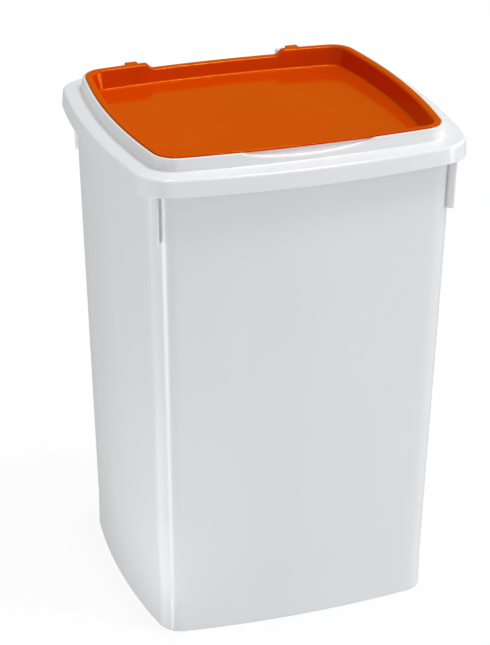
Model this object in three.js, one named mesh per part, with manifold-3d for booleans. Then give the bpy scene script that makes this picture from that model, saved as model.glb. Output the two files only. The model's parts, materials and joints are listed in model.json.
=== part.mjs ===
// Pet food bin: a tapered tub, a lid frame that drops over the tub's rim, and a hinged flap.
// Millimetres, +Z up, +Y to the rear (hinge side). The origin is the middle of the foot, on the floor.
import * as THREE from 'three';
import { mergeVertices } from 'three/addons/utils/BufferGeometryUtils.js';
import Module from 'manifold-3d';

const wasm = await Module();
wasm.setup();

// ---- Driving dimensions ----------------------------------------------------------------------
const WALL = 2.2;                // moulded wall thickness
const GAP = 0.3;                 // rest gap between two pieces
const OVERLAP = 1;               // how far two bodies reach into each other before they are joined

const FOOT_RADIUS = 3;           // round at the bottom of the tub's wall
const INNER_ROUND = 4;           // round between the wall and the bottom panel, inside
const LIP_ROUND = 0.8;
const ROUND_SHARE = 0.3;         // a 45 degree round's middle point, as a share of its radius
const BAND_TOP = 38;             // the wall is upright below this height, and tapered above it
const PANEL_RISE = 3;            // the bottom panel is raised inside a foot ring
const FOOT_RING_WIDTH = 14;
const RIM_TOP = 494;             // top of the tub's lip
const LIP_INSET = 4.2;           // the lip's edge, inside the skirt's outside

const SKIRT_BOTTOM = 479;
const SKIRT_THICKNESS = 2;
const SKIRT_LEAN = 1.4;          // how far the skirt leans in towards its top
const LEDGE_TOP = 496.5;
const EDGE_ROUND = 3;            // round between the skirt and the ledge
const FILLET = 1.6;              // between the ledge and the raised wall
const RIB_BOTTOM = 484;          // locating rib that drops inside the tub's wall
const RIB_THICKNESS = 1.8;
const RIDGE_TOP = 509.8;         // raised wall round the opening
const SEAT_TOP = 508.7;          // rebate that the flap's flange rests on
const SEAT_WIDTH = 3;            // the seat reaches this far in under the flange
const SIDE_GAP = 0.7;            // between the flange's edge and the raised wall
const CURTAIN_BOTTOM = 486;      // wall that hangs round the opening
const CURTAIN_THICKNESS = 1.8;
const RIDGE_EDGE = 2;            // where the raised wall's top rounds over, out from the flange's edge
const RIDGE_ROUND = 1;
const SEAT_ROUND = 0.5;

const FLAP_TOP = 511;
const FLANGE_BOTTOM = SEAT_TOP + GAP;
const FLANGE_ROUND = 1;
const FLANGE_THICKNESS = 3.3;    // at the tray's edge, where the flange turns down into the wall
const FLANGE_WIDTH = 6.6;        // from the flange's edge to the tray's wall
const FLANGE_DRAFT = 0.6;        // how far the flange's inner edge leans in
const TRAY_OUTSIDE = 4.4;        // the tray's wall starts this far in, under the flange
const TRAY_FLOOR = 491.5;        // top of the flap's sunken panel
const TRAY_DRAFT = 5;            // how far the tray's wall leans in towards its floor
const TRAY_ROUND = 1.4;

const DIP_DEPTH = 5.8;           // the rear edge is lower between two corner blocks
const DIP_INNER = 66.5;          // the step runs from here ...
const DIP_OUTER = 74;            // ... to here, on both sides of the middle

const HINGE_Y = 145;
const HINGE_Z = 506.3;
const HINGE_X = 86.9;            // middle of each hinge lug
const LUG_WIDTH = 11.7;
const LUG_RADIUS = 4.2;
const PIN_RADIUS = 1.6;
const BORE_RADIUS = 1.85;

const EAR_INNER = 9.4;           // width of the ear on the bin's middle side of a lug
const EAR_OUTER = 3;
const EAR_FRONT = HINGE_Y - 4.5;
const EAR_TOP = HINGE_Z - 0.6;
const EAR_ROUND = PIN_RADIUS + 0.8;
const STOP_THICKNESS = 1.8;
const STOP_TOP = HINGE_Z + 0.36; // the lug's arm meets the stop when the flap is fully open
const LUG_CLEARANCE = 0.4;       // between a lug's back and the stop
const LUG_SIDE_CLEARANCE = 0.6;
const ARM_FRONT = 134;           // the lug's arm starts here, inside the flange
const ARM_THICKNESS = 3;
const MOUTH_HALF = 1.35;         // the knuckle's mouth is narrower than the pin, so that it clips on
const NOTCH_FRONT = 128;
const NOTCH_FLOOR = 500;

const FIN_BOTTOM = 427;          // corner fins below the lip
const FIN_REACH = 8;
const FIN_THICKNESS = 4.2;
const FIN_WEB = 1.6;             // thin root web, so that the wall doesn't sink
const FIN_ROOT = 2.2;            // length of the root web
const FIN_CHAMFER = 2.5;

// Finger scoop: a cove in the front of the raised wall that reaches under the flap's flange. It is
// cut by a ball that is stretched along X.
const SCOOP_CENTRE = [0, -146, RIDGE_TOP];
const SCOOP_HALF_SIZES = [98, 13.3, 10.6];

// Plan outlines: four bulged sides joined by round corners.
const FOOT = { side: 149, front: 133.5, back: 133.5, bulge: [12.5, 11.5, 8], corner: 22 };
const MOUTH = { side: 162.7, front: 148.6, back: 148.6, bulge: [14.4, 17, 9], corner: 31.5 };
const SKIRT = { side: 175, front: 160, back: 160, bulge: [15.5, 18.5, 9], corner: 37 };
const RIDGE_BASE = { side: 157, front: 138.2, back: 145.5, bulge: [14.2, 11.5, 10], corner: 27 };
const FLAP = { side: 152, front: 134.5, back: 141, bulge: [13.4, 9, 9.5], corner: 22.7 };

// ---- Outlines and lofts ----------------------------------------------------------------------
const CORNER_STEPS = 6;
const SIDE_STEPS = 6;
const FRONT_STEPS = 8;
const BACK_STATIONS = [110, DIP_OUTER, DIP_INNER, 34, 0, -34, -DIP_INNER, -DIP_OUTER, -110];

// Centre and radius of the arc that bulges by `bulge` over a half chord, measured from its crown.
function bulgedArc(crown, halfChord, bulge) {
  const radius = (halfChord ** 2 + bulge ** 2) / (2 * bulge);
  return { centre: crown - radius, radius };
}

// Where two circles cross, on the side of the given corner.
function crossing(a, radiusA, b, radiusB, cornerY) {
  const apart = b.clone().sub(a);
  const distance = apart.length();
  const along = (radiusA ** 2 - radiusB ** 2 + distance ** 2) / (2 * distance);
  const off = Math.sqrt(radiusA ** 2 - along ** 2);
  const unit = apart.divideScalar(distance);
  const normal = new THREE.Vector2(-unit.y, unit.x);
  const foot = a.clone().addScaledVector(unit, along);
  const options = [1, -1].map((sign) => foot.clone().addScaledVector(normal, sign * off));
  return options.sort((p, q) => (q.x + cornerY * q.y) - (p.x + cornerY * p.y))[0];
}

// Arc centres, radii and corner centres of an outline's right half.
function arcsOf(outline) {
  const [bulgeSide, bulgeFront, bulgeBack] = outline.bulge;
  const middle = (outline.back - outline.front) / 2;
  const halfDepth = (outline.back + outline.front) / 2;
  const side = bulgedArc(outline.side, halfDepth, bulgeSide);
  const front = bulgedArc(outline.front, outline.side, bulgeFront);
  const back = bulgedArc(outline.back, outline.side, bulgeBack);
  const sideCentre = new THREE.Vector2(side.centre, middle);
  const frontCentre = new THREE.Vector2(0, -front.centre);
  const backCentre = new THREE.Vector2(0, back.centre);
  const r = outline.corner;
  return {
    side: { centre: sideCentre, radius: side.radius },
    front: { centre: frontCentre, radius: front.radius },
    back: { centre: backCentre, radius: back.radius },
    frontCorner: crossing(sideCentre, side.radius - r, frontCentre, front.radius - r, -1),
    backCorner: crossing(sideCentre, side.radius - r, backCentre, back.radius - r, 1),
  };
}

const angleFrom = (centre, point) => Math.atan2(point.y - centre.y, point.x - centre.x);

function arcPoints(centre, radius, from, to, steps, withEnds) {
  const points = [];
  const first = withEnds ? 0 : 1;
  const last = withEnds ? steps : steps - 1;
  for (let i = first; i <= last; i += 1) {
    const angle = THREE.MathUtils.lerp(from, to, i / steps);
    points.push(new THREE.Vector2(centre.x + radius * Math.cos(angle), centre.y + radius * Math.sin(angle)));
  }
  return points;
}

// The outline grown by `grow`, as a closed loop that runs anticlockwise from the middle of the front.
function loop(outline, grow = 0) {
  const arcs = arcsOf(outline);
  const frontEnd = angleFrom(arcs.front.centre, arcs.frontCorner);
  const sideStart = angleFrom(arcs.side.centre, arcs.frontCorner);
  const sideEnd = angleFrom(arcs.side.centre, arcs.backCorner);
  const backStart = angleFrom(arcs.back.centre, arcs.backCorner);
  const corner = outline.corner + grow;
  const frontRadius = arcs.front.radius + grow;
  const backRadius = arcs.back.radius + grow;
  const half = [
    ...arcPoints(arcs.front.centre, frontRadius, -Math.PI / 2, frontEnd, FRONT_STEPS / 2, false),
    ...arcPoints(arcs.frontCorner, corner, frontEnd, sideStart, CORNER_STEPS, true),
    ...arcPoints(arcs.side.centre, arcs.side.radius + grow, sideStart, sideEnd, SIDE_STEPS, false),
    ...arcPoints(arcs.backCorner, corner, sideEnd, backStart, CORNER_STEPS, true),
  ];
  const rear = BACK_STATIONS.map((x) => new THREE.Vector2(
    x, arcs.back.centre.y + Math.sqrt(backRadius ** 2 - x ** 2)));
  const mirrored = half.map((p) => new THREE.Vector2(-p.x, p.y)).reverse();
  const nose = new THREE.Vector2(0, arcs.front.centre.y - frontRadius);
  return [nose, ...half, ...rear, ...mirrored];
}

function between(a, b, t) {
  const mix = (p, q) => THREE.MathUtils.lerp(p, q, t);
  return {
    side: mix(a.side, b.side), front: mix(a.front, b.front), back: mix(a.back, b.back),
    bulge: a.bulge.map((value, i) => mix(value, b.bulge[i])), corner: mix(a.corner, b.corner),
  };
}

// How much of the rear dip a point takes: all of it in the middle, none at the corner blocks.
function dipAt(point) {
  if (point.y < 0) return 0;
  return DIP_DEPTH * THREE.MathUtils.clamp((DIP_OUTER - Math.abs(point.x)) / (DIP_OUTER - DIP_INNER), 0, 1);
}

// One ring of a loft. `dip` is the share of the rear dip that it follows.
function ring(outline, grow, z, dip = 0) {
  return loop(outline, grow).map((p) => new THREE.Vector3(p.x, p.y, z - dip * dipAt(p)));
}

// A closed body through rings: joined end to end as a frame, or closed with flat caps.
function loft(rings, joined) {
  const count = rings[0].length;
  const positions = rings.flat().flatMap((p) => [p.x, p.y, p.z]);
  const index = [];
  const pairs = joined ? rings.length : rings.length - 1;
  for (let r = 0; r < pairs; r += 1) {
    const lower = r * count;
    const upper = ((r + 1) % rings.length) * count;
    for (let i = 0; i < count; i += 1) {
      const next = (i + 1) % count;
      index.push(lower + i, lower + next, upper + next, lower + i, upper + next, upper + i);
    }
  }
  if (!joined) {
    const last = (rings.length - 1) * count;
    for (let i = 1; i < count - 1; i += 1) {
      index.push(0, i + 1, i, last, last + i, last + i + 1);
    }
  }
  const geometry = new THREE.BufferGeometry();
  geometry.setAttribute('position', new THREE.Float32BufferAttribute(positions, 3));
  geometry.setIndex(index);
  return geometry;
}

// ---- Solids ----------------------------------------------------------------------------------
function solid(geometry) {
  const bare = geometry.clone();
  bare.deleteAttribute('normal');
  bare.deleteAttribute('uv');
  const merged = mergeVertices(bare, 1e-4);
  return new wasm.Manifold(new wasm.Mesh({
    numProp: 3,
    vertProperties: new Float32Array(merged.attributes.position.array),
    triVerts: new Uint32Array(merged.index.array),
  }));
}

function geometryOf(body) {
  const mesh = body.getMesh();
  const geometry = new THREE.BufferGeometry();
  geometry.setAttribute('position', new THREE.Float32BufferAttribute(mesh.vertProperties, 3));
  geometry.setIndex(Array.from(mesh.triVerts));
  geometry.computeVertexNormals();
  return geometry;
}

function block(low, high) {
  const size = high.map((value, i) => value - low[i]);
  const box = new THREE.BoxGeometry(...size);
  return solid(box.translate(...low.map((value, i) => value + size[i] / 2)));
}

// A rod along X, centred at the given place.
function rod(radius, length, x, y, z, sides = 24) {
  const cylinder = new THREE.CylinderGeometry(radius, radius, length, sides);
  return solid(cylinder.rotateZ(Math.PI / 2).translate(x, y, z));
}

function ellipsoid(centre, halfSizes) {
  const ball = new THREE.SphereGeometry(1, 48, 24);
  return solid(ball.scale(...halfSizes).translate(...centre));
}

// ---- Tub -------------------------------------------------------------------------------------
// The tub's outer outline at a height.
function tubOutline(z) {
  const t = (z - BAND_TOP) / (RIM_TOP - BAND_TOP);
  return between(FOOT, MOUTH, Math.max(t, 0));
}

// A fin that stands out of a tub corner, diagonally: an upright bar on a thin root web.
function cornerFin(signX, signY) {
  const heading = new THREE.Vector2(signX, signY).normalize();
  const across = new THREE.Vector2(-heading.y, heading.x);
  const cornerAt = (z) => {
    const outline = tubOutline(z);
    const arcs = arcsOf(outline);
    const centre = signY < 0 ? arcs.frontCorner : arcs.backCorner;
    return new THREE.Vector2(signX * centre.x, centre.y).addScaledVector(heading, outline.corner);
  };
  const section = (z, near, far, thickness) => [[near, -1], [far, -1], [far, 1], [near, 1]].map(
    ([reach, side]) => {
      const p = cornerAt(z).addScaledVector(heading, reach).addScaledVector(across, side * thickness / 2);
      return new THREE.Vector3(p.x, p.y, z);
    });
  const top = RIM_TOP - WALL / 2;
  const bar = loft([
    section(FIN_BOTTOM, FIN_ROOT, FIN_REACH - FIN_CHAMFER, FIN_THICKNESS),
    section(FIN_BOTTOM + FIN_CHAMFER, FIN_ROOT, FIN_REACH, FIN_THICKNESS),
    section(top, FIN_ROOT, FIN_REACH, FIN_THICKNESS),
  ], false);
  const web = loft([
    section(FIN_BOTTOM, -OVERLAP, FIN_ROOT + OVERLAP, FIN_WEB),
    section(top, -OVERLAP, FIN_ROOT + OVERLAP, FIN_WEB),
  ], false);
  return solid(bar).add(solid(web));
}

function tubShell() {
  const panelEdge = -FOOT_RING_WIDTH;
  const lip = (inset) => -LIP_INSET - inset;
  const innerFloor = PANEL_RISE + WALL;
  return solid(loft([
    ring(FOOT, panelEdge - PANEL_RISE, PANEL_RISE),
    ring(FOOT, panelEdge, 0),
    ring(FOOT, -FOOT_RADIUS, 0),
    ring(FOOT, -FOOT_RADIUS * ROUND_SHARE, FOOT_RADIUS * ROUND_SHARE),
    ring(FOOT, 0, FOOT_RADIUS),
    ring(FOOT, 0, BAND_TOP),
    ring(tubOutline(RIM_TOP - WALL), 0, RIM_TOP - WALL),
    ring(SKIRT, lip(0), RIM_TOP - WALL),
    ring(SKIRT, lip(0), RIM_TOP - LIP_ROUND),
    ring(SKIRT, lip(LIP_ROUND), RIM_TOP),
    ring(MOUTH, -WALL, RIM_TOP),
    ring(FOOT, -WALL, BAND_TOP),
    ring(FOOT, -WALL, innerFloor + INNER_ROUND),
    ring(FOOT, -WALL - INNER_ROUND * ROUND_SHARE, innerFloor + INNER_ROUND * ROUND_SHARE),
    ring(FOOT, -WALL - INNER_ROUND, innerFloor),
  ], false));
}

function tub() {
  let body = tubShell();
  for (const signX of [-1, 1]) {
    for (const signY of [-1, 1]) body = body.add(cornerFin(signX, signY));
  }
  return body;
}

// ---- Lid frame -------------------------------------------------------------------------------
// A moulded sheet that runs over the skirt, the ledge, the raised wall, the seat and the curtain.
function frameShell() {
  const underLedge = LEDGE_TOP - WALL;
  const underSeat = SEAT_TOP - WALL;
  const ribOutside = -WALL - 2 * GAP;
  const ribInside = ribOutside - RIB_THICKNESS;
  return solid(loft([
    ring(SKIRT, 0, SKIRT_BOTTOM),
    ring(SKIRT, -SKIRT_LEAN, LEDGE_TOP - EDGE_ROUND),
    ring(SKIRT, -SKIRT_LEAN - EDGE_ROUND * ROUND_SHARE, LEDGE_TOP - EDGE_ROUND * ROUND_SHARE),
    ring(SKIRT, -SKIRT_LEAN - EDGE_ROUND, LEDGE_TOP),
    ring(RIDGE_BASE, FILLET, LEDGE_TOP),
    ring(RIDGE_BASE, 0, LEDGE_TOP + FILLET),
    ring(FLAP, RIDGE_EDGE + RIDGE_ROUND, RIDGE_TOP - RIDGE_ROUND, 1),
    ring(FLAP, RIDGE_EDGE, RIDGE_TOP, 1),
    ring(FLAP, SIDE_GAP + SEAT_ROUND, RIDGE_TOP, 1),
    ring(FLAP, SIDE_GAP, RIDGE_TOP - SEAT_ROUND, 1),
    ring(FLAP, SIDE_GAP, SEAT_TOP, 1),
    ring(FLAP, -SEAT_WIDTH + SEAT_ROUND, SEAT_TOP, 1),
    ring(FLAP, -SEAT_WIDTH, SEAT_TOP - SEAT_ROUND, 1),
    ring(FLAP, -SEAT_WIDTH, CURTAIN_BOTTOM),
    ring(FLAP, -SEAT_WIDTH + CURTAIN_THICKNESS, CURTAIN_BOTTOM),
    ring(FLAP, -SEAT_WIDTH + CURTAIN_THICKNESS, underSeat, 1),
    ring(FLAP, SIDE_GAP, underSeat, 1),
    ring(RIDGE_BASE, -WALL, underLedge),
    ring(MOUTH, ribInside, underLedge),
    ring(MOUTH, ribInside, RIB_BOTTOM),
    ring(MOUTH, ribOutside, RIB_BOTTOM),
    ring(MOUTH, ribOutside, underLedge),
    ring(SKIRT, -SKIRT_LEAN - SKIRT_THICKNESS, underLedge),
    ring(SKIRT, -SKIRT_THICKNESS, SKIRT_BOTTOM),
  ], true));
}

// The space between the raised wall's outside and the curtain's inside, between two heights.
function ridgeBand(low, high) {
  const outer = loft([ring(FLAP, RIDGE_EDGE, low), ring(FLAP, RIDGE_EDGE, high)], false);
  const inner = loft([
    ring(FLAP, -SEAT_WIDTH, low - OVERLAP),
    ring(FLAP, -SEAT_WIDTH, high + OVERLAP),
  ], false);
  return solid(outer).subtract(solid(inner));
}

// A cove under the flap's front edge for a fingertip, with a thicker wall behind it.
function addScoop(frame) {
  const cove = ellipsoid(SCOOP_CENTRE, SCOOP_HALF_SIZES);
  const backing = ellipsoid(SCOOP_CENTRE, SCOOP_HALF_SIZES.map((value) => value + WALL));
  return frame.add(backing.intersect(ridgeBand(LEDGE_TOP - OVERLAP, SEAT_TOP))).subtract(cove);
}

// Notch for one hinge lug, a floor under it, two ears with a pin, and a stop behind the lug.
function addHingeSeat(frame, side) {
  const centre = side * HINGE_X;
  const halfSlot = LUG_WIDTH / 2 + LUG_SIDE_CLEARANCE;
  const seatBack = HINGE_Y + LUG_RADIUS + LUG_CLEARANCE;
  const stopBack = seatBack + STOP_THICKNESS;
  const foot = LEDGE_TOP - OVERLAP;
  const low = centre - halfSlot;
  const high = centre + halfSlot;
  const notch = block([low, NOTCH_FRONT, NOTCH_FLOOR], [high, seatBack, RIDGE_TOP + OVERLAP]);
  const floor = block(
    [low - OVERLAP, NOTCH_FRONT, NOTCH_FLOOR - WALL],
    [high + OVERLAP, seatBack, NOTCH_FLOOR]);
  const floorBand = ridgeBand(NOTCH_FLOOR - WALL - OVERLAP, NOTCH_FLOOR + OVERLAP);
  let body = frame.add(floor.intersect(floorBand)).subtract(notch);
  for (const end of [-1, 1]) {
    const width = end === side ? EAR_OUTER : EAR_INNER;
    const near = centre + end * halfSlot;
    const far = near + end * width;
    body = body.add(block([Math.min(near, far), EAR_FRONT, foot], [Math.max(near, far), stopBack, EAR_TOP]));
    body = body.add(rod(EAR_ROUND, width, (near + far) / 2, HINGE_Y, HINGE_Z));
  }
  const stop = block([low - OVERLAP, seatBack, foot], [high + OVERLAP, stopBack, STOP_TOP]);
  const pin = rod(PIN_RADIUS, 2 * (halfSlot + OVERLAP), centre, HINGE_Y, HINGE_Z);
  return body.add(stop).add(pin);
}

function lidFrame() {
  const scooped = addScoop(frameShell());
  return addHingeSeat(addHingeSeat(scooped, -1), 1);
}

// ---- Flap ------------------------------------------------------------------------------------
// A sunken tray inside a flange, with the wall drafted so that it lifts out of its mould.
function flapShell() {
  const underTray = TRAY_FLOOR - WALL;
  const inside = -FLANGE_WIDTH;
  const trayEdge = inside - TRAY_DRAFT;
  return solid(loft([
    ring(FLAP, -TRAY_OUTSIDE - TRAY_DRAFT - TRAY_ROUND, underTray),
    ring(FLAP, -TRAY_OUTSIDE - TRAY_DRAFT, underTray + TRAY_ROUND),
    ring(FLAP, -TRAY_OUTSIDE, FLANGE_BOTTOM, 1),
    ring(FLAP, 0, FLANGE_BOTTOM, 1),
    ring(FLAP, 0, FLAP_TOP - FLANGE_ROUND, 1),
    ring(FLAP, -FLANGE_ROUND, FLAP_TOP, 1),
    ring(FLAP, inside + FLANGE_ROUND, FLAP_TOP, 1),
    ring(FLAP, inside, FLAP_TOP - FLANGE_ROUND, 1),
    ring(FLAP, inside - FLANGE_DRAFT, FLAP_TOP - FLANGE_THICKNESS, 1),
    ring(FLAP, trayEdge, TRAY_FLOOR + TRAY_ROUND),
    ring(FLAP, trayEdge - TRAY_ROUND, TRAY_FLOOR),
  ], false));
}

// A lug behind a corner block: an arm, and a knuckle that clips over the pin from above.
function hingeLug(side) {
  const centre = side * HINGE_X;
  const half = LUG_WIDTH / 2;
  const armTop = HINGE_Z + LUG_RADIUS;
  const armFoot = armTop - ARM_THICKNESS;
  const mouthFoot = HINGE_Z - LUG_RADIUS - OVERLAP;
  const arm = block([centre - half, ARM_FRONT, armFoot], [centre + half, HINGE_Y, armTop]);
  const knuckle = rod(LUG_RADIUS, LUG_WIDTH, centre, HINGE_Y, HINGE_Z);
  const bore = rod(BORE_RADIUS, LUG_WIDTH + 2 * OVERLAP, centre, HINGE_Y, HINGE_Z);
  const mouth = block(
    [centre - half - OVERLAP, HINGE_Y - MOUTH_HALF, mouthFoot],
    [centre + half + OVERLAP, HINGE_Y + MOUTH_HALF, HINGE_Z]);
  return arm.add(knuckle).subtract(bore).subtract(mouth);
}

function flap() {
  return flapShell().add(hingeLug(-1)).add(hingeLug(1));
}

// ---- Assembly --------------------------------------------------------------------------------
function piece(name, body, material) {
  const mesh = new THREE.Mesh(geometryOf(body), material);
  mesh.name = name;
  return mesh;
}

const whitePlastic = new THREE.MeshStandardMaterial({ color: 0xe6e8ea, roughness: 0.35, metalness: 0 });
const orangePlastic = new THREE.MeshStandardMaterial({ color: 0xcc5a09, roughness: 0.15, metalness: 0 });

const bin = new THREE.Group();
const lid = new THREE.Group();
lid.add(piece('lid_frame', lidFrame(), whitePlastic));
lid.add(piece('flap', flap(), orangePlastic));
bin.add(piece('tub', tub(), whitePlastic));
bin.add(lid);

export default bin;
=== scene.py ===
"""Pet food bin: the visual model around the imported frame.

Plan shapes and profiles are worked out in millimetres, in the frame's own axes: +X to the right,
+Y to the hinge side, +Z up. Meshes are handed to Blender in metres.
"""

import json
import math
from dataclasses import dataclass

import bmesh
import bpy
import numpy as np
from mathutils import Matrix, Vector


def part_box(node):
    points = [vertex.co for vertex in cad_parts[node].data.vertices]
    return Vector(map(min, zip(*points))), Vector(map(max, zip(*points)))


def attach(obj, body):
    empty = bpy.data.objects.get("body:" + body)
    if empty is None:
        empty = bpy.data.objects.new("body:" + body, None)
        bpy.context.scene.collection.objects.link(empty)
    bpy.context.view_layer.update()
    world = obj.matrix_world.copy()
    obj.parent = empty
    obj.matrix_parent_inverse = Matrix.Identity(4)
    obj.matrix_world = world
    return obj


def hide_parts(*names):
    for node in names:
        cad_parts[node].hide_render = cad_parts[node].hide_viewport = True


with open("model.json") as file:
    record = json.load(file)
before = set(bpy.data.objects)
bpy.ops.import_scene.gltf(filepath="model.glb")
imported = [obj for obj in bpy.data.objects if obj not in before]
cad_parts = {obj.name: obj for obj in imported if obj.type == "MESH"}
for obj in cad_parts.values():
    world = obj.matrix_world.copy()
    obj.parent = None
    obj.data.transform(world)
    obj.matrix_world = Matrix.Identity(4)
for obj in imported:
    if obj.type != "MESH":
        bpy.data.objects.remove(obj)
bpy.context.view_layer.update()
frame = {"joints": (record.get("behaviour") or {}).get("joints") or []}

MM = 0.001


# ---- Driving dimensions ------------------------------------------------------------------------
def frame_box(node):
    """A CAD node's lowest and highest corners, in millimetres."""
    low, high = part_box(node)
    return np.array(low) / MM, np.array(high) / MM


TUB_HIGH = frame_box("tub")[1]
FRAME_LOW, FRAME_HIGH = frame_box("lid_frame")
FLAP_LOW, FLAP_HIGH = frame_box("flap")
HINGE = next(joint for joint in frame["joints"] if joint["name"] == "flap_hinge")

WALL = 2.2                       # moulded wall thickness
GAP = 0.3                        # rest gap between two pieces
EMBED = 1.0                      # how far a solid reaches into the one it joins, or past what it cuts
HAIR = 0.05                      # keeps two solids' faces out of one plane

# Heights.
BAND_TOP = 38.0                  # the tub's wall is upright below this, and tapered above it
RIM_TOP = TUB_HIGH[2]            # top of the tub's lip
SKIRT_BOTTOM = FRAME_LOW[2]
RIDGE_TOP = FRAME_HIGH[2]        # top of the raised wall round the opening
LEDGE_TOP = RIDGE_TOP - 13.3
SEAT_TOP = RIDGE_TOP - 1.1       # rebate that the flap's flange rests on
RIB_BOTTOM = RIM_TOP - 10.0      # locating rib that drops inside the tub's wall
CURTAIN_BOTTOM = RIM_TOP - 8.0   # wall that hangs round the opening
FLAP_TOP = FLAP_HIGH[2]
FLANGE_BOTTOM = SEAT_TOP + GAP
TRAY_UNDERSIDE = FLAP_LOW[2]
TRAY_FLOOR = TRAY_UNDERSIDE + WALL

# Tub details.
LIP_INSET = FRAME_HIGH[0] - TUB_HIGH[0]
LIP_UNDERSIDE = RIM_TOP - WALL
PANEL_RISE = 3.0                 # the bottom panel is raised inside a foot ring
FOOT_RING_WIDTH = 14.0
PANEL_EDGE = FOOT_RING_WIDTH + PANEL_RISE
PANEL_CAP = PANEL_EDGE + 4.0     # inset of the bottom panel's flat cap
INNER_FLOOR = PANEL_RISE + WALL
FLOOR_CAP = WALL + 14.0          # inset of the inner floor's flat cap
FIN_BOTTOM = 427.0               # the fins on the corners run from here ...
FIN_TOP = LIP_UNDERSIDE + 0.5    # ... to here, inside the lip
FIN_ROOT = 2.2                   # length of the fin's thin root web
FIN_REACH = 8.0
FIN_WEB = 1.6
FIN_THICKNESS = 4.2

# Lid frame details.
SKIRT_LEAN = 1.4                 # how far the skirt leans in towards its top
SKIRT_THICKNESS = 2.0
RIB_THICKNESS = 1.8
CURTAIN_INNER = (3.0, 3.2)       # inset of the curtain's inner face, at its top and its bottom ...
CURTAIN_OUTER = (1.0, 1.4)       # ... and of its outer face, from the flap's outline
DIP_DEPTH = 5.8                  # the rear edge is lower between two corner blocks
DIP_INNER = 65.8                 # the step runs from here ...
DIP_OUTER = 74.8                 # ... to here, on both sides of the middle
SEAT_EDGE = 0.8                  # the raised wall's inner edge, outside the flap's outline
SEAT_DRAFT = 0.1                 # lean of the small step from the seat up to the rim
RIDGE_EDGE = 2.9                 # the raised wall's outer edge, outside the flap's outline
SCOOP_HALF = 66.0                # half width of the finger scoop in the raised wall's front
SCOOP_DEPTH = 8.6
SCOOP_UNDERCUT = 2.6             # how far the scoop reaches in, under the flap's flange
SCOOP_RUN_IN = 5.0               # the undercut is full where the scoop is this deep
SCOOP_BACKING = 12.0             # how far the wall is filled behind the scoop's deepest place
COVE_START = 0.95                # turn of the cove, in radians, at its inner edge
COVE_STATIONS = 6
RIM_ROUND = 0.9                  # round on the raised wall's outer edge
RIM_STATIONS = 5
ROUND_FADE = 2.0                 # the rim's round is gone where the scoop is this deep

# Hinge details.
HINGE_Y, HINGE_Z = (value / MM for value in HINGE["pos_m"][1:])
LUG_X = 86.9                     # middle of each hinge lug
LUG_WIDTH = 11.7
LUG_RADIUS = FLAP_HIGH[1] - HINGE_Y
LUG_FRONT = 134.5                # a lug's arm starts here, inside the flap's flange
ARM_THICKNESS = 3.0
BORE_RADIUS = 1.85
MOUTH_HALF = 1.35                # half of the mouth that clips over the pin
PIN_RADIUS = 1.6
SLOT_HALF = LUG_WIDTH / 2 + 0.6  # half width of the room for a lug
SLOT_BACK = HINGE_Y + LUG_RADIUS + 0.4
NOTCH_FRONT = 128.0
NOTCH_FLOOR = 500.0
FLOOR_FRONT = HINGE_Y - 7.9      # the floor under a notch runs from here ...
FLOOR_BACK = HINGE_Y - 3.7       # ... to here
INNER_EAR = 9.4                  # width of the ear on the bin's middle side ...
OUTER_EAR = 3.0                  # ... and on its outer side
EAR_FRONT = HINGE_Y - 4.5
EAR_TOP = HINGE_Z - 0.6
KNOB_RADIUS = PIN_RADIUS + 0.8   # round boss on an ear, at the pin's end
STOP_BACK = SLOT_BACK + 1.8
STOP_TOP = HINGE_Z + 0.36        # the stop behind a lug ends the flap's travel

# Flap details, as insets from the flap's outline.
FLANGE_WIDTH = 4.4               # where the flange's underside meets the tray's wall
TRAY_EDGE = 6.8                  # where the flange's top does
TRAY_UNDER_CORNER = 9.8          # foot of the tray's wall, outside ...
TRAY_CORNER = 11.6               # ... and inside
TRAY_CAP = 20.0                  # flat caps of the tray, above and below

# Rounds on the corners of the profiles and on the edges of small solids.
SHARP = 0.0
HAIR_ROUND = 0.2
SMALL_ROUND = 0.3
LUG_ROUND = 0.35
FINE_ROUND = 0.4
USUAL_ROUND = 0.5
SEAT_ROUND = 0.6
FIN_ROUND = 0.7
SOFT_ROUND = 0.8
BROAD_ROUND = 1.0
PANEL_ROUND = 1.2
SHOULDER_HOLLOW = 1.4            # inside the skirt's shoulder
FILLET = 1.6
TRAY_FILLET = 2.4
FOOT_ROUND = 3.0
TRAY_EDGE_ROUND = 3.0
SHOULDER_ROUND = 3.2             # outside, where the skirt turns into the ledge
FLOOR_FILLET = 6.0
BAND_BLEND = 40.0                # from the upright band into the tapered wall


# ---- Plan outlines -----------------------------------------------------------------------------
@dataclass(frozen=True)
class Outline:
    """Four bulged sides joined by round corners.

    `side`, `front` and `back` are distances from the bin's axis to the crowns of the sides. `bulge` is
    the height of the side's, the front's and the back's arc, and `corner` is the corners' radius.
    """

    side: float
    front: float
    back: float
    bulge: tuple
    corner: float


SKIRT = Outline(FRAME_HIGH[0], -FRAME_LOW[1], FRAME_HIGH[1], (15.5, 18.5, 9.0), 37.0)
MOUTH = Outline(SKIRT.side - 12.3, SKIRT.front - 11.4, SKIRT.back - 11.4, (14.4, 17.0, 9.0), 31.5)
FOOT = Outline(SKIRT.side - 26.0, SKIRT.front - 26.5, SKIRT.back - 26.5, (12.5, 11.5, 8.0), 22.0)
RIDGE = Outline(SKIRT.side - 18.0, SKIRT.front - 21.8, SKIRT.back - 14.5, (14.2, 11.5, 10.0), 27.0)
FLAP = Outline(FLAP_HIGH[0], -FLAP_LOW[1], -FLAP_LOW[1] + 6.5, (13.4, 9.0, 9.5), 22.7)

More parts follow.
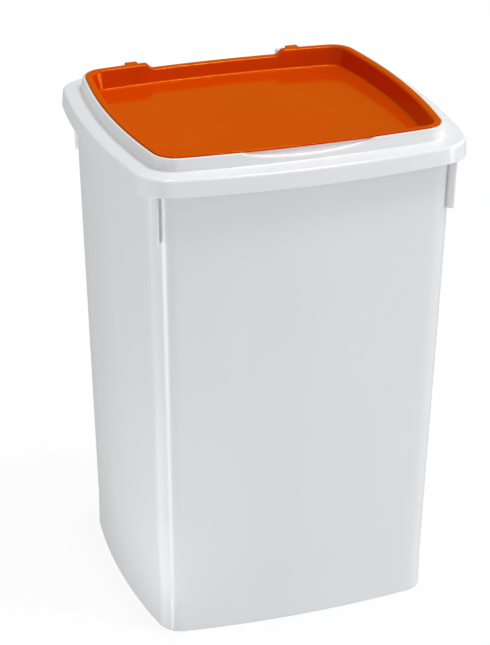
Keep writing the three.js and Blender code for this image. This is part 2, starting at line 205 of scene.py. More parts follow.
SCOOP_ZONE = 72.0                # stations are close together inside this half width
STEP_ZONE = (92.0, 62.0)         # and between these, over the lugs and the rear steps
FRONT_STEPS = (36, 10)           # from the middle of the front over the scoop, and on to the corner
CORNER_STEPS = 14
SIDE_STEPS = 30
REAR_STEPS = (6, 36, 16)         # from the corner to the lug, over lug and step, and to the middle


def bulged_arc(crown, half_chord, bulge):
    """Centre and radius of an arc that bulges over a half chord, measured from its crown."""
    radius = (half_chord**2 + bulge**2) / (2 * bulge)
    return crown - radius, radius


def crossing(a, radius_a, b, radius_b, rear):
    """Where two circles cross, on the right and towards the front (-1) or the rear (+1)."""
    span = b - a
    distance = math.hypot(*span)
    along = (radius_a**2 - radius_b**2 + distance**2) / (2 * distance)
    off = math.sqrt(radius_a**2 - along**2)
    ahead = span / distance
    aside = np.array((-ahead[1], ahead[0]))
    options = [a + along * ahead + sign * off * aside for sign in (1, -1)]
    return max(options, key=lambda p: p[0] + rear * p[1])


def on_arc(centre, radius, start, end, steps):
    """Points from one angle to another, both ends included."""
    angles = np.linspace(start, end, steps + 1)
    return np.stack([centre[0] + radius * np.cos(angles), centre[1] + radius * np.sin(angles)], 1)


def heading(centre, point):
    """The direction of a point from a centre, as an angle."""
    return math.atan2(point[1] - centre[1], point[0] - centre[0])


def stations(stops, steps):
    """Values from stop to stop, with each stretch cut into its own number of steps."""
    stretches = [np.linspace(a, b, count + 1)[1:] for a, b, count in zip(stops, stops[1:], steps)]
    return np.concatenate([stops[:1], *stretches])


def loop(outline, grow=0.0):
    """The outline grown by `grow`: a closed loop, anticlockwise from the middle of the front."""
    bulge_side, bulge_front, bulge_back = outline.bulge
    middle = (outline.back - outline.front) / 2
    half_depth = (outline.back + outline.front) / 2
    side_x, side_radius = bulged_arc(outline.side, half_depth, bulge_side)
    front_y, front_radius = bulged_arc(outline.front, outline.side, bulge_front)
    back_y, back_radius = bulged_arc(outline.back, outline.side, bulge_back)
    side = np.array((side_x, middle))
    front = np.array((0.0, -front_y))
    back = np.array((0.0, back_y))
    r = outline.corner
    front_corner = crossing(side, side_radius - r, front, front_radius - r, -1)
    back_corner = crossing(side, side_radius - r, back, back_radius - r, 1)
    corner = r + grow
    front_turn = on_arc(front_corner, corner, heading(front, front_corner),
                        heading(side, front_corner), CORNER_STEPS)
    flank = on_arc(side, side_radius + grow, heading(side, front_corner),
                   heading(side, back_corner), SIDE_STEPS)[1:-1]
    back_turn = on_arc(back_corner, corner, heading(side, back_corner),
                       heading(back, back_corner), CORNER_STEPS)
    nose_x = stations((0, SCOOP_ZONE, front_turn[0, 0]), FRONT_STEPS)[:-1]
    nose = np.stack([nose_x, front[1] - np.sqrt((front_radius + grow) ** 2 - nose_x**2)], 1)
    tail_x = stations((back_turn[-1, 0], *STEP_ZONE, 0), REAR_STEPS)[1:]
    tail = np.stack([tail_x, back[1] + np.sqrt((back_radius + grow) ** 2 - tail_x**2)], 1)
    half = np.concatenate([nose, front_turn, flank, back_turn, tail])
    mirrored = half[-2:0:-1] * (-1, 1)
    return np.concatenate([half, mirrored])


def smooth(t):
    """A soft ramp from 0 to 1."""
    t = np.clip(t, 0, 1)
    return t * t * (3 - 2 * t)


def rear_dip(points):
    """How far the rear edge drops at each point: all of it in the middle, none at the corners."""
    share = smooth((DIP_OUTER - np.abs(points[:, 0])) / (DIP_OUTER - DIP_INNER))
    return np.where(points[:, 1] > 0, DIP_DEPTH * share, 0.0)


def ring(outline, grow, z, dip=0.0):
    """One key ring of a profile. `dip` is the share of the rear dip that it follows."""
    flat = loop(outline, grow)
    return np.column_stack([flat, z - dip * rear_dip(flat)])


# ---- Lofts with rounded profile corners --------------------------------------------------------
ROUND_STEPS = 4
FLAT_SHARE = 0.46                # a round takes at most this share of the flat beside it
FOLDED, STRAIGHT = 1e-3, math.pi / 2 - 1e-4    # limits of half a corner's angle, in radians
NOT_ZERO = 1e-12


def unit(vectors):
    """Vectors of length one."""
    return vectors / np.maximum(np.linalg.norm(vectors, axis=1, keepdims=True), NOT_ZERO)


def rounded(before, key, after, radius):
    """The rows of points that round a profile's corner at a key ring."""
    to_before, to_after = before - key, after - key
    room = FLAT_SHARE * np.minimum(np.linalg.norm(to_before, axis=1), np.linalg.norm(to_after, axis=1))
    a, b = unit(to_before), unit(to_after)
    half = np.arccos(np.clip((a * b).sum(1), -1, 1)) / 2
    half = np.clip(half, FOLDED, STRAIGHT)
    reach = np.minimum(radius / np.tan(half), room)
    arc_radius = reach * np.tan(half)
    centre = key + unit(a + b) * (arc_radius / np.sin(half))[:, None]
    start = key + a * reach[:, None] - centre
    end = key + b * reach[:, None] - centre
    turn = math.pi - 2 * half
    rows = []
    for share in np.linspace(0, 1, ROUND_STEPS + 1):
        from_start = (np.sin((1 - share) * turn) / np.sin(turn))[:, None]
        from_end = (np.sin(share * turn) / np.sin(turn))[:, None]
        rows.append(centre + from_start * start + from_end * end)
    return rows


def rows_of(keys, closed):
    """Every row of a loft through (key ring, corner radius) pairs."""
    rows = []
    count = len(keys)
    for i, (points, radius) in enumerate(keys):
        is_end = not closed and i in (0, count - 1)
        if radius == SHARP or is_end:
            rows.append(points)
        else:
            rows += rounded(keys[i - 1][0], points, keys[(i + 1) % count][0], radius)
    return rows


CAP_SHARES = (0.93, 0.75, 0.5, 0.25, 0.06)    # rows of a flat cap, from its edge to its middle


def cap_rows(edge):
    """Rows that carry a flat cap in from its edge towards the middle."""
    middle = edge.mean(0)
    return [middle + (edge - middle) * share for share in CAP_SHARES]


def mesh_object(name, points, faces):
    """A new object from points in millimetres."""
    mesh = bpy.data.meshes.new(name)
    mesh.from_pydata([tuple(p) for p in np.asarray(points) * MM], [], faces)
    mesh.validate()
    made = bpy.data.objects.new(name, mesh)
    bpy.context.scene.collection.objects.link(made)
    return made


def loft(name, keys, closed):
    """A closed body through key rings: joined end to end as a frame, or capped at both ends."""
    rows = rows_of(keys, closed)
    if not closed:
        rows = cap_rows(rows[0])[::-1] + rows + cap_rows(rows[-1])
    count = len(rows[0])
    faces = []
    pairs = len(rows) if closed else len(rows) - 1
    for r in range(pairs):
        low, high = r * count, (r + 1) % len(rows) * count
        faces += [(low + i, low + (i + 1) % count, high + (i + 1) % count, high + i)
                  for i in range(count)]
    if not closed:
        last = (len(rows) - 1) * count
        faces.append(tuple(range(count))[::-1])
        faces.append(tuple(range(last, last + count)))
    return mesh_object(name, np.concatenate(rows), faces)


# ---- Small solids and booleans -----------------------------------------------------------------
def extruded(name, profile, low_x, high_x, bevel):
    """A (y, z) profile pushed along X, with its edges rounded."""
    profile = np.asarray(profile, float)
    count = len(profile)
    points = [(x, y, z) for x in (low_x, high_x) for y, z in profile]
    faces = [tuple(range(count))[::-1], tuple(range(count, 2 * count))]
    faces += [(i, (i + 1) % count, count + (i + 1) % count, count + i) for i in range(count)]
    made = mesh_object(name, points, faces)
    rounding(made, bevel)
    return made


BEVEL_ANGLE = math.radians(35)   # edges that turn more than this are rounded
BEVEL_STEPS = 3


def rounding(made, width):
    """Outward normals and small rounds on every sharp edge."""
    body = bmesh.new()
    body.from_mesh(made.data)
    bmesh.ops.recalc_face_normals(body, faces=body.faces)
    if width != SHARP:
        edges = [e for e in body.edges if e.calc_face_angle(0) > BEVEL_ANGLE]
        bmesh.ops.bevel(body, geom=edges, offset=width * MM, segments=BEVEL_STEPS, profile=0.5,
                        affect="EDGES", clamp_overlap=True)
    body.to_mesh(made.data)
    body.free()


def box_profile(low_y, high_y, low_z, high_z):
    """A rectangle as a (y, z) profile."""
    return [(low_y, low_z), (high_y, low_z), (high_y, high_z), (low_y, high_z)]


def circle(radius, start=0.0, end=360.0, steps=40):
    """(y, z) points on a circle round the hinge pin, between two angles in degrees."""
    angles = np.radians(np.linspace(start, end, steps + 1))
    if end - start == 360:
        angles = angles[:-1]
    return [(HINGE_Y + radius * math.cos(a), HINGE_Z + radius * math.sin(a)) for a in angles]


def combine(body, tool, operation):
    """Joins the tool to the body or cuts it away, and uses the tool up."""
    change = body.modifiers.new(operation.lower(), "BOOLEAN")
    change.operation = operation
    change.solver = "EXACT"
    change.object = tool
    graph = bpy.context.evaluated_depsgraph_get()
    mesh = bpy.data.meshes.new_from_object(body.evaluated_get(graph))
    body.modifiers.remove(change)
    old = body.data
    body.data = mesh
    bpy.data.meshes.remove(old)
    bpy.data.objects.remove(tool)
    return body


SHARP_ANGLE = math.radians(32)   # edges that turn more than this stay crisp
WELD = 1e-6                      # points nearer than this, in metres, become one


def finished(made, material):
    """Cleans the mesh, shades it smooth between its crisp edges and gives it its material."""
    body = bmesh.new()
    body.from_mesh(made.data)
    bmesh.ops.remove_doubles(body, verts=body.verts, dist=WELD)
    bmesh.ops.dissolve_degenerate(body, edges=body.edges, dist=WELD)
    many_sided = [f for f in body.faces if len(f.verts) > 4]
    bmesh.ops.triangulate(body, faces=many_sided, ngon_method="BEAUTY")
    bmesh.ops.recalc_face_normals(body, faces=body.faces)
    body.to_mesh(made.data)
    body.free()
    made.data.shade_smooth()
    made.data.set_sharp_from_angle(angle=SHARP_ANGLE)
    even = made.modifiers.new("even_normals", "WEIGHTED_NORMAL")
    even.mode = "FACE_AREA"
    even.keep_sharp = True
    made.data.materials.clear()
    made.data.materials.append(material)
    return made


# ---- Tub ---------------------------------------------------------------------------------------
def tub_shell():
    """The moulded shell, from the bottom panel up the outside, over the lip and down the inside."""
    lip = -LIP_INSET
    return loft("tub_shell", [
        (ring(FOOT, -PANEL_CAP, PANEL_RISE), SHARP),
        (ring(FOOT, -PANEL_EDGE, PANEL_RISE), PANEL_ROUND),
        (ring(FOOT, -FOOT_RING_WIDTH, 0), PANEL_ROUND),
        (ring(FOOT, 0, 0), FOOT_ROUND),
        (ring(FOOT, 0, BAND_TOP), BAND_BLEND),
        (ring(MOUTH, 0, LIP_UNDERSIDE), SOFT_ROUND),
        (ring(SKIRT, lip, LIP_UNDERSIDE), FINE_ROUND),
        (ring(SKIRT, lip, RIM_TOP), SOFT_ROUND),
        (ring(MOUTH, -WALL, RIM_TOP), BROAD_ROUND),
        (ring(FOOT, -WALL, BAND_TOP), BAND_BLEND),
        (ring(FOOT, -WALL, INNER_FLOOR), FLOOR_FILLET),
        (ring(FOOT, -FLOOR_CAP, INNER_FLOOR), SHARP),
    ], closed=False)


def corner_fin(name, sign_x, sign_y):
    """A fin that stands out of a tub corner: an upright bar on a thin root web."""
    away = np.array((sign_x, sign_y)) / math.sqrt(2)
    across = np.array((-away[1], away[0]))

    def corner_at(z):
        """The outermost point of the tub's corner at a height."""
        share = (z - BAND_TOP) / (LIP_UNDERSIDE - BAND_TOP)
        flat = loop(MOUTH) * share + loop(FOOT) * (1 - share)
        return flat[np.argmax(flat @ away)]

    def upright(piece, near, far, thickness, bevel):
        """A bar that follows the corner, between two distances out of it."""
        points = []
        for z in (FIN_BOTTOM, FIN_TOP):
            for reach, side in ((near, -1), (far, -1), (far, 1), (near, 1)):
                p = corner_at(z) + away * reach + across * side * thickness / 2
                points.append((p[0], p[1], z))
        faces = [(0, 1, 2, 3), (7, 6, 5, 4)]
        faces += [(i, i + 4, (i + 1) % 4 + 4, (i + 1) % 4) for i in range(4)]
        made = mesh_object(piece, points, faces)
        rounding(made, bevel)
        return made

    bar = upright(name, FIN_ROOT, FIN_REACH, FIN_THICKNESS, FIN_ROUND)
    web = upright(name + "_web", -EMBED, FIN_ROOT + EMBED, FIN_WEB, SHARP)
    return combine(bar, web, "UNION")


def make_tub(material):
    """The tub: its shell with a fin on each corner."""
    body = tub_shell()
    for sign_x in (-1, 1):
        for sign_y in (-1, 1):
            combine(body, corner_fin("fin", sign_x, sign_y), "UNION")
    body.name = body.data.name = "tub_moulding"
    return finished(body, material)


# ---- Lid frame ---------------------------------------------------------------------------------
def scoop_depth(points):
    """How deep the finger scoop is on the raised wall's outside, along the front."""
    share = np.where(points[:, 1] < 0, points[:, 0] / SCOOP_HALF, 1)
    return SCOOP_DEPTH * np.sqrt(np.maximum(1 - share**2, 0))


def sunk(points, depth):
    """The ring with its points lowered, each by its own depth."""
    lowered = points.copy()
    lowered[:, 2] -= depth
    return lowered


def undercut(points):
    """The ring drawn in along the scoop, away from the raised wall's outer edge."""
    edge = ring(FLAP, RIDGE_EDGE, RIDGE_TOP, 1)
    share = smooth(scoop_depth(points) / SCOOP_RUN_IN)
    stretch = share * SCOOP_UNDERCUT / (RIDGE_EDGE - SEAT_EDGE)
    drawn = points.copy()
    drawn[:, :2] += (points - edge)[:, :2] * stretch[:, None]
    return drawn


def rim_rings(wall_foot):
    """Rings over the raised wall's rim: a round on its outer edge, and a cove along the scoop."""
    width = RIDGE_EDGE - SEAT_EDGE
    round_start = RIDGE_EDGE - RIM_ROUND
    outer_turns = np.linspace(0, math.pi / 2, RIM_STATIONS)
    inner_turns = np.linspace(COVE_START, 0, COVE_STATIONS)
    outer = [round_start + RIM_ROUND * math.cos(turn) for turn in outer_turns]
    inner = [SEAT_EDGE + width * (1 - math.cos(turn)) for turn in inner_turns]
    rings = []
    for grow in outer + inner:
        flat = ring(FLAP, grow, RIDGE_TOP, 1)
        depth = scoop_depth(flat)
        mouth = (RIDGE_TOP - SEAT_TOP) * smooth(depth / SCOOP_RUN_IN)
        cove = mouth + (depth - mouth) * math.sqrt(1 - ((RIDGE_EDGE - grow) / width) ** 2)
        over = max(grow - round_start, 0)
        drop = RIM_ROUND - math.sqrt(RIM_ROUND**2 - over**2)
        rings.append(sunk(undercut(flat), cove + drop * (1 - smooth(depth / ROUND_FADE))))
    # The scoop's lower edge lies on the wall's outer slope.
    lowest = rings[0]
    share = 1 - scoop_depth(lowest) / (RIDGE_TOP - LEDGE_TOP)
    top = ring(FLAP, RIDGE_EDGE, RIDGE_TOP)
    lowest[:, :2] = (wall_foot + (top - wall_foot) * share[:, None])[:, :2]
    return [(points, SHARP) for points in rings]


def frame_shell():
    """The moulded sheet: skirt, ledge, raised wall, seat, curtain, rib, and back inside the skirt."""
    under_ledge = LEDGE_TOP - WALL
    under_seat = SEAT_TOP - WALL
    rib = -WALL - 2 * GAP
    curtain = ring(FLAP, -CURTAIN_OUTER[0], under_seat, 1)
    inside = ring(FLAP, SEAT_EDGE, under_seat, 1)
    backing = SCOOP_BACKING / SCOOP_DEPTH
    wall_foot = ring(RIDGE, 0, LEDGE_TOP)
    return loft("frame_shell", [
        (ring(SKIRT, 0, SKIRT_BOTTOM), USUAL_ROUND),
        (ring(SKIRT, -SKIRT_LEAN, LEDGE_TOP), SHOULDER_ROUND),
        (wall_foot, FILLET),
        *rim_rings(wall_foot),
        (undercut(ring(FLAP, SEAT_EDGE - SEAT_DRAFT, SEAT_TOP, 1)), HAIR_ROUND),
        (ring(FLAP, -CURTAIN_INNER[0], SEAT_TOP, 1), SEAT_ROUND),
        (ring(FLAP, -CURTAIN_INNER[1], CURTAIN_BOTTOM), USUAL_ROUND),
        (ring(FLAP, -CURTAIN_OUTER[1], CURTAIN_BOTTOM), USUAL_ROUND),
        (sunk(curtain, scoop_depth(curtain) * backing), FINE_ROUND),
        (sunk(inside, scoop_depth(inside) * backing), FINE_ROUND),
        (ring(RIDGE, -WALL, under_ledge), USUAL_ROUND),
        (ring(MOUTH, rib - RIB_THICKNESS, under_ledge), USUAL_ROUND),
        (ring(MOUTH, rib - RIB_THICKNESS, RIB_BOTTOM), FINE_ROUND),
        (ring(MOUTH, rib, RIB_BOTTOM), FINE_ROUND),
        (ring(MOUTH, rib, under_ledge), USUAL_ROUND),
        (ring(SKIRT, -SKIRT_LEAN - SKIRT_THICKNESS, under_ledge), SHOULDER_HOLLOW),
        (ring(SKIRT, -SKIRT_THICKNESS, SKIRT_BOTTOM), FINE_ROUND),
    ], closed=True)


def hinge_seat(side):
    """A pin between two ears, and a stop behind it, as one solid to join to the frame."""
    centre = side * LUG_X
    foot = LEDGE_TOP - EMBED
    ear_profile = box_profile(EAR_FRONT, STOP_BACK, foot, EAR_TOP)
    stop_profile = box_profile(SLOT_BACK, STOP_BACK - HAIR, foot, STOP_TOP)
    left, right = centre - SLOT_HALF - EMBED, centre + SLOT_HALF + EMBED
    seat = extruded("seat", circle(PIN_RADIUS), left, right, SHARP)
    for end in (-1, 1):
        width = OUTER_EAR if end == side else INNER_EAR
        near = centre + end * (SLOT_HALF - HAIR)
        far = centre + end * (SLOT_HALF + width)
        low, high = min(near, far), max(near, far)
        ear = extruded("ear", ear_profile, low, high, SOFT_ROUND)
        knob = extruded("knob", circle(KNOB_RADIUS), low, high, SMALL_ROUND)
        combine(seat, combine(ear, knob, "UNION"), "UNION")
    stop = extruded("stop", stop_profile, left, right, FINE_ROUND)
    return combine(seat, stop, "UNION")


def hinge_notch(side):
    """The room that a lug needs in the raised wall."""
    centre = side * LUG_X
    profile = box_profile(NOTCH_FRONT, SLOT_BACK, NOTCH_FLOOR, RIDGE_TOP + EMBED)
    return extruded("notch", profile, centre - SLOT_HALF, centre + SLOT_HALF, SHARP)


def notch_floor(side):
    """A floor under a notch, across the hollow of the raised wall."""
    centre = side * LUG_X
    profile = box_profile(FLOOR_FRONT, FLOOR_BACK, NOTCH_FLOOR - WALL, NOTCH_FLOOR + HAIR)
    left, right = centre - SLOT_HALF - EMBED, centre + SLOT_HALF + EMBED
    return extruded("floor", profile, left, right, SHARP)


def make_lid_frame(material):
    """The lid frame: its shell with a notch and a hinge seat for each lug."""
    body = frame_shell()
    for side in (-1, 1):
        combine(body, notch_floor(side), "UNION")
        combine(body, hinge_notch(side), "DIFFERENCE")
        combine(body, hinge_seat(side), "UNION")
    body.name = body.data.name = "lid_frame_moulding"
    return finished(body, material)


# ---- Flap --------------------------------------------------------------------------------------
def flap_shell():
    """A sunken tray inside a flange, with the wall drafted so that it lifts out of its mould."""
    return loft("flap_shell", [
        (ring(FLAP, -TRAY_CAP, TRAY_UNDERSIDE), SHARP),
        (ring(FLAP, -TRAY_UNDER_CORNER, TRAY_UNDERSIDE), FILLET),
        (ring(FLAP, -FLANGE_WIDTH, FLANGE_BOTTOM, 1), FINE_ROUND),
        (ring(FLAP, 0, FLANGE_BOTTOM, 1), SMALL_ROUND),
        (ring(FLAP, 0, FLAP_TOP, 1), BROAD_ROUND),
        (ring(FLAP, -TRAY_EDGE, FLAP_TOP, 1), TRAY_EDGE_ROUND),
        (ring(FLAP, -TRAY_CORNER, TRAY_FLOOR), TRAY_FILLET),
        (ring(FLAP, -TRAY_CAP, TRAY_FLOOR), SHARP),
    ], closed=False)


def lug_profile():
    """Side view of a lug: an arm, and a knuckle that clips over the pin from above."""
    arm_top = HINGE_Z + LUG_RADIUS
    meet = math.degrees(math.asin((LUG_RADIUS - ARM_THICKNESS) / LUG_RADIUS))
    lip = math.degrees(math.acos(MOUTH_HALF / LUG_RADIUS))
    throat = math.degrees(math.acos(MOUTH_HALF / BORE_RADIUS))
    arm = [(LUG_FRONT, arm_top), (LUG_FRONT, arm_top - ARM_THICKNESS)]
    outer_front = circle(LUG_RADIUS, 180 - meet, 180 + lip, steps=12)
    bore = circle(BORE_RADIUS, -throat, 180 + throat, steps=28)[::-1]
    outer_back = circle(LUG_RADIUS, -lip, 90, steps=20)
    return [*arm, *outer_front, *bore, *outer_back]


def make_flap(material):
    """The flap: its shell with two hinge lugs."""
    body = flap_shell()
    for side in (-1, 1):
        centre = side * LUG_X
        low, high = centre - LUG_WIDTH / 2, centre + LUG_WIDTH / 2
        lug = extruded("lug", lug_profile(), low, high, LUG_ROUND)
        combine(body, lug, "UNION")
    body.name = body.data.name = "flap_moulding"
    return finished(body, material)


# ---- Materials ---------------------------------------------------------------------------------
PLASTIC_IOR = 1.49
NOISE_ROUGHNESS = 0.55
NOISE_RANGE = (0.3, 0.7)         # nearly all values of a noise lie between these
FLOW_SCALE = 9.0                 # cloudy flow marks ...
FLOW_STRETCH = (1, 1, 0.35)      # ... that are drawn out upwards
# Walls below this range get the orange's painted shade; open faces above it don't.
WALL_SHADE_RANGE = (0.35, 0.85)        # upright part of a normal: a wall below this, an open face above

TUB_WHITES = ((0.80, 0.805, 0.82), (0.825, 0.83, 0.84))
FRAME_WHITES = ((0.81, 0.815, 0.83), (0.83, 0.835, 0.845))
WHITE_GLOSS = (0.17, 0.23)       # roughness over the flow marks ...
WHITE_GLOSS_GRAIN = (-0.02, 0.02)    # ... and what the fine grain adds to it
WHITE_WAVES = 45.0               # scale of the low waves ...
WHITE_GRAIN = 900.0              # ... and of the fine grain
WAVES_TO_GRAIN = 4               # the waves on white plastic are this many times as deep as its grain
TUB_GRAIN_DEPTH = 0.000012
FRAME_GRAIN_DEPTH = 0.000005

ORANGE_FACES = ((0.60, 0.054, 0.0006), (0.64, 0.060, 0.0009))
# Painted shade: the orange's walls are coloured darker and redder than its open faces, by the way they
# face.
ORANGE_WALLS_PAINTED_SHADE = ((0.57, 0.028, 0.0005), (0.60, 0.032, 0.0007))
ORANGE_SHEEN = (1.0, 0.62, 0.035, 1)
ORANGE_GLOSS = (0.09, 0.13)
ORANGE_BODY_ROUGHNESS = 0.6
ORANGE_WAVES = 30.0
ORANGE_GRAIN = 700.0
ORANGE_WAVE_DEPTH = 0.000012
ORANGE_GRAIN_DEPTH = 0.000002

MIX_SHARE, MIX_A, MIX_B, MIXED = 0, 6, 7, 2    # sockets of a mix node that mixes colours


def node(tree, kind, **inputs):
    """A new shader node, with its inputs set or linked by name."""
    made = tree.nodes.new(kind)
    for name, value in inputs.items():
        socket = made.inputs[name.replace("_", " ")]
        if isinstance(value, bpy.types.NodeSocket):
            tree.links.new(value, socket)
        else:
            socket.default_value = value
    return made


def new_material(name):
    """An empty node material with its output node."""
    material = bpy.data.materials.new(name)
    material.use_nodes = True
    material.node_tree.nodes.clear()
    output = material.node_tree.nodes.new("ShaderNodeOutputMaterial")
    return material, material.node_tree, output


def noise(tree, scale, detail, stretch=(1, 1, 1)):
    """A noise value over the object's own coordinates, in metres."""
    where = tree.nodes.new("ShaderNodeTexCoord")
    mapping = node(tree, "ShaderNodeMapping", Vector=where.outputs["Object"], Scale=stretch)
    made = node(tree, "ShaderNodeTexNoise", Vector=mapping.outputs["Vector"], Scale=scale,
                Detail=detail, Roughness=NOISE_ROUGHNESS)
    return made.outputs["Fac"]


def spread(tree, value, low, high):
    """A noise value, taken to a range."""
    made = node(tree, "ShaderNodeMapRange", Value=value, From_Min=NOISE_RANGE[0],
                From_Max=NOISE_RANGE[1], To_Min=low, To_Max=high)
    return made.outputs["Result"]


def flow_marks(tree):
    """The cloudy marks that plastic keeps from filling its mould, as a noise value."""
    return noise(tree, FLOW_SCALE, 3.0, FLOW_STRETCH)


def blend_colours(tree, share, a, b):
    """Mixes two colours, each of them a colour or the output of a node."""
    made = tree.nodes.new("ShaderNodeMix")
    made.data_type = "RGBA"
    tree.links.new(share, made.inputs[MIX_SHARE])
    for index, colour in ((MIX_A, a), (MIX_B, b)):
        if isinstance(colour, bpy.types.NodeSocket):
            tree.links.new(colour, made.inputs[index])
        else:
            made.inputs[index].default_value = (*colour, 1)
    return made.outputs[MIXED]


def blend_shaders(tree, share, a, b):
    """Mixes two shader nodes."""
    made = node(tree, "ShaderNodeMixShader", Fac=share)
    tree.links.new(a.outputs[0], made.inputs[1])
    tree.links.new(b.outputs[0], made.inputs[2])
    return made.outputs[0]


def wall_shade_mask(tree):
    """1 where the piece's own surface lies flat, 0 on its walls, where the painted shade goes."""
    where = tree.nodes.new("ShaderNodeTexCoord")
    parts = node(tree, "ShaderNodeSeparateXYZ", Vector=where.outputs["Normal"])
    level = node(tree, "ShaderNodeMath", Value=parts.outputs["Z"])
    level.operation = "ABSOLUTE"
    made = node(tree, "ShaderNodeMapRange", Value=level.outputs[0], From_Min=WALL_SHADE_RANGE[0],
                From_Max=WALL_SHADE_RANGE[1])
    return made.outputs["Result"]


def moulded_surface(tree, waves, wave_depth, fine, grain_depth):
    """The normal of a moulded surface: low waves with a fine grain on them, depths in metres."""
    swell = node(tree, "ShaderNodeBump", Strength=1.0, Distance=wave_depth, Height=waves)
    surface = node(tree, "ShaderNodeBump", Strength=1.0, Distance=grain_depth, Height=fine,
                   Normal=swell.outputs["Normal"])
    return surface.outputs["Normal"]


def white_plastic(name, whites, grain_depth):
    """White moulded plastic: faint flow marks in its colour and gloss, and a fine grain."""
    material, tree, output = new_material(name)
    flow = flow_marks(tree)
    waves = noise(tree, WHITE_WAVES, 1.0)
    fine = noise(tree, WHITE_GRAIN, 2.0)
    base = blend_colours(tree, spread(tree, flow, 0, 1), *whites)
    gloss = node(tree, "ShaderNodeMath", Value=spread(tree, flow, *WHITE_GLOSS))
    gloss.operation = "ADD"
    tree.links.new(spread(tree, fine, *WHITE_GLOSS_GRAIN), gloss.inputs[1])
    normal = moulded_surface(tree, waves, grain_depth * WAVES_TO_GRAIN, fine, grain_depth)
    shader = node(tree, "ShaderNodeBsdfPrincipled", Base_Color=base, Roughness=gloss.outputs[0],
                  Normal=normal, IOR=PLASTIC_IOR)
    tree.links.new(shader.outputs[0], output.inputs["Surface"])
    return material


def orange_plastic():
    """Glossy orange plastic with a yellowish reflection, and painted shade: walls darker and redder
    than open faces.
    """
    material, tree, output = new_material("gloss_orange_plastic")
    flow = spread(tree, flow_marks(tree), 0, 1)
    waves = noise(tree, ORANGE_WAVES, 1.0)
    fine = noise(tree, ORANGE_GRAIN, 2.0)
    open_faces = blend_colours(tree, flow, *ORANGE_FACES)
    shaded_walls = blend_colours(tree, flow, *ORANGE_WALLS_PAINTED_SHADE)
    # Painted shade: the walls get the darker, redder colour, the open faces the lighter one.
    base = blend_colours(tree, wall_shade_mask(tree), shaded_walls, open_faces)
    normal = moulded_surface(tree, waves, ORANGE_WAVE_DEPTH, fine, ORANGE_GRAIN_DEPTH)
    body = node(tree, "ShaderNodeBsdfPrincipled", Base_Color=base, Normal=normal,
                Roughness=ORANGE_BODY_ROUGHNESS, Specular_IOR_Level=0.0)
    coat = node(tree, "ShaderNodeBsdfGlossy", Color=ORANGE_SHEEN, Normal=normal,
                Roughness=spread(tree, fine, *ORANGE_GLOSS))
    rim = node(tree, "ShaderNodeFresnel", IOR=PLASTIC_IOR, Normal=normal)
    both = blend_shaders(tree, rim.outputs["Fac"], body, coat)
    tree.links.new(both, output.inputs["Surface"])
    return material


# ---- Stage, light and camera -------------------------------------------------------------------
STAGE_RADIUS = 6.0               # metres
STAGE_SIDES = 96
FLOOR_DROP = 0.0004              # keeps the floor out of the plane of the bin's foot
FLOOR_GLOW = 0.9                 # share of the floor's brightness that it gives off itself
PALE = (0.93, 0.935, 0.945, 1)
WHITE = (1, 1, 1, 1)
FILL = 0.415                     # brightness of the even surround

SOFT_LIGHTS = (                  # name, azimuth, elevation and width in degrees, strength
    ("right_front_box", 55, 0, 32, 0.33),
    ("right_box", 83, 18, 55, 0.25),
    ("overhead_right", 50, 66, 13, 0.32),
    ("overhead", 0, 90, 8, 0.26),
    ("rear_glow", 180, -55, 30, 0.3),
    ("table_glow", -80, -30, 70, 0.31),
    ("corner_glow", -55, -28, 12, 0.09),
)
TABLE_PATCHES = (                # name, x, y and radius in metres, strength
    ("table_left", -0.42, -0.10, 0.22, 0.65),
    ("table_corner", -0.25, -0.225, 0.11, 0.65),
)


def pale_floor():
    """A wide disc under the bin, like a light table: seen by the camera alone, and almost white."""
    body = bmesh.new()
    bmesh.ops.create_circle(body, cap_ends=True, radius=STAGE_RADIUS, segments=STAGE_SIDES)
    mesh = bpy.data.meshes.new("floor")
    body.to_mesh(mesh)
    body.free()
    floor = bpy.data.objects.new("floor", mesh)
    floor.location.z = -FLOOR_DROP
    floor.visible_diffuse = floor.visible_glossy = floor.visible_shadow = False
    bpy.context.scene.collection.objects.link(floor)
    material, tree, output = new_material("pale_floor")
    diffuse = node(tree, "ShaderNodeBsdfDiffuse", Color=PALE)
    glow = node(tree, "ShaderNodeEmission", Color=WHITE, Strength=1.0)
    tree.links.new(blend_shaders(tree, FLOOR_GLOW, diffuse, glow), output.inputs["Surface"])
    mesh.materials.append(material)


def direction(azimuth, elevation):
    """A unit vector from the bin, in degrees: azimuth 0 is the front, and 90 is the right."""
    a, e = math.radians(azimuth), math.radians(elevation)
    return Vector((math.sin(a) * math.cos(e), -math.cos(a) * math.cos(e), math.sin(e)))


def soft_light(name, azimuth, elevation, width, strength):
    """A far round softbox. At strength 1 it alone lights a white surface that faces it to white."""
    data = bpy.data.lights.new(name, "SUN")
    data.angle = math.radians(width)
    data.energy = strength * math.pi
    light = bpy.data.objects.new(name, data)
    light.rotation_mode = "QUATERNION"
    light.rotation_quaternion = (-direction(azimuth, elevation)).to_track_quat("-Z", "Y")
    bpy.context.scene.collection.objects.link(light)


def table_patch(name, x, y, radius, strength):
    """A round patch of the light table that glows upwards: its place and radius in metres."""
    data = bpy.data.lights.new(name, "AREA")
    data.shape = "DISK"
    data.size = 2 * radius
    data.energy = strength * (math.pi * radius) ** 2
    light = bpy.data.objects.new(name, data)
    light.location = (x, y, 0)
    light.rotation_euler = (math.pi, 0, 0)
    light.visible_camera = False
    bpy.context.scene.collection.objects.link(light)


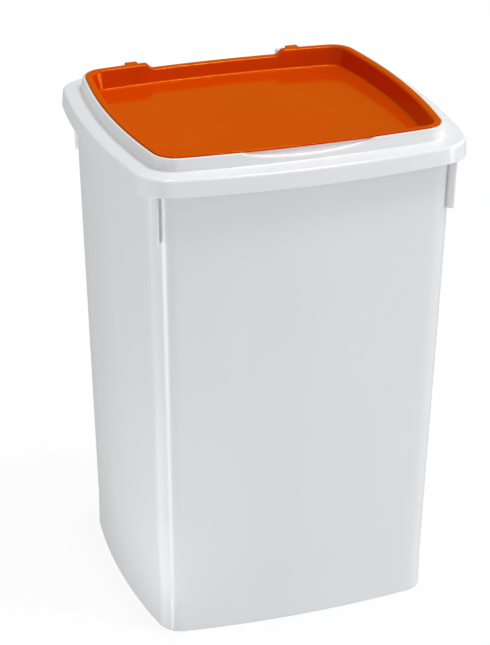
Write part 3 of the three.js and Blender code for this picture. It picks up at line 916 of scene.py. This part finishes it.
def studio():
    """An even pale surround, light from above and from the right, and glow from the light table."""
    world = bpy.data.worlds.new("surround")
    bpy.context.scene.world = world
    world.use_nodes = True
    tree = world.node_tree
    tree.nodes.clear()
    output = tree.nodes.new("ShaderNodeOutputWorld")
    paths = tree.nodes.new("ShaderNodeLightPath")
    fill = node(tree, "ShaderNodeBackground", Color=WHITE, Strength=FILL)
    seen = node(tree, "ShaderNodeBackground", Color=WHITE, Strength=1.0)
    shown = blend_shaders(tree, paths.outputs["Is Camera Ray"], fill, seen)
    tree.links.new(shown, output.inputs["Surface"])
    for light in SOFT_LIGHTS:
        soft_light(*light)
    for patch in TABLE_PATCHES:
        table_patch(*patch)


CAMERA_AZIMUTH = -19.7           # degrees
CAMERA_ELEVATION = 24.9
CAMERA_ROLL = 0.4
CAMERA_DISTANCE = 2.370          # metres
CAMERA_ASIDE = -0.013            # the camera looks this far to the right of the bin's axis ...
CAMERA_HEIGHT = 0.2696           # ... at this height
CAMERA_LENS = 130.0
CLIP_START, CLIP_END = 0.05, 50.0


def photo_camera():
    """The photo's view of the bin, from its left front and above."""
    data = bpy.data.cameras.new("camera")
    data.lens = CAMERA_LENS
    data.clip_start = CLIP_START
    data.clip_end = CLIP_END
    camera = bpy.data.objects.new("camera", data)
    bpy.context.scene.collection.objects.link(camera)
    back = direction(CAMERA_AZIMUTH, CAMERA_ELEVATION)
    right = direction(CAMERA_AZIMUTH + 90, 0)
    target = right * CAMERA_ASIDE + Vector((0, 0, CAMERA_HEIGHT))
    camera.location = target + back * CAMERA_DISTANCE
    camera.rotation_mode = "QUATERNION"
    level = (-back).to_track_quat("-Z", "Y")
    roll = Matrix.Rotation(math.radians(CAMERA_ROLL), 3, "Z").to_quaternion()
    camera.rotation_quaternion = level @ roll
    bpy.context.scene.camera = camera


# ---- Assembly ----------------------------------------------------------------------------------
def place(piece, body, cad_node):
    """Puts a finished piece on its CAD body, in the place of its CAD node."""
    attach(piece, body)
    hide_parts(cad_node)


tub_white = white_plastic("satin_white_plastic", TUB_WHITES, TUB_GRAIN_DEPTH)
frame_white = white_plastic("gloss_white_plastic", FRAME_WHITES, FRAME_GRAIN_DEPTH)
place(make_tub(tub_white), "tub", "tub")
place(make_lid_frame(frame_white), "lid_frame", "lid_frame")
place(make_flap(orange_plastic()), "flap", "flap")
pale_floor()
studio()
photo_camera()
bpy.context.scene.view_settings.view_transform = "Standard"
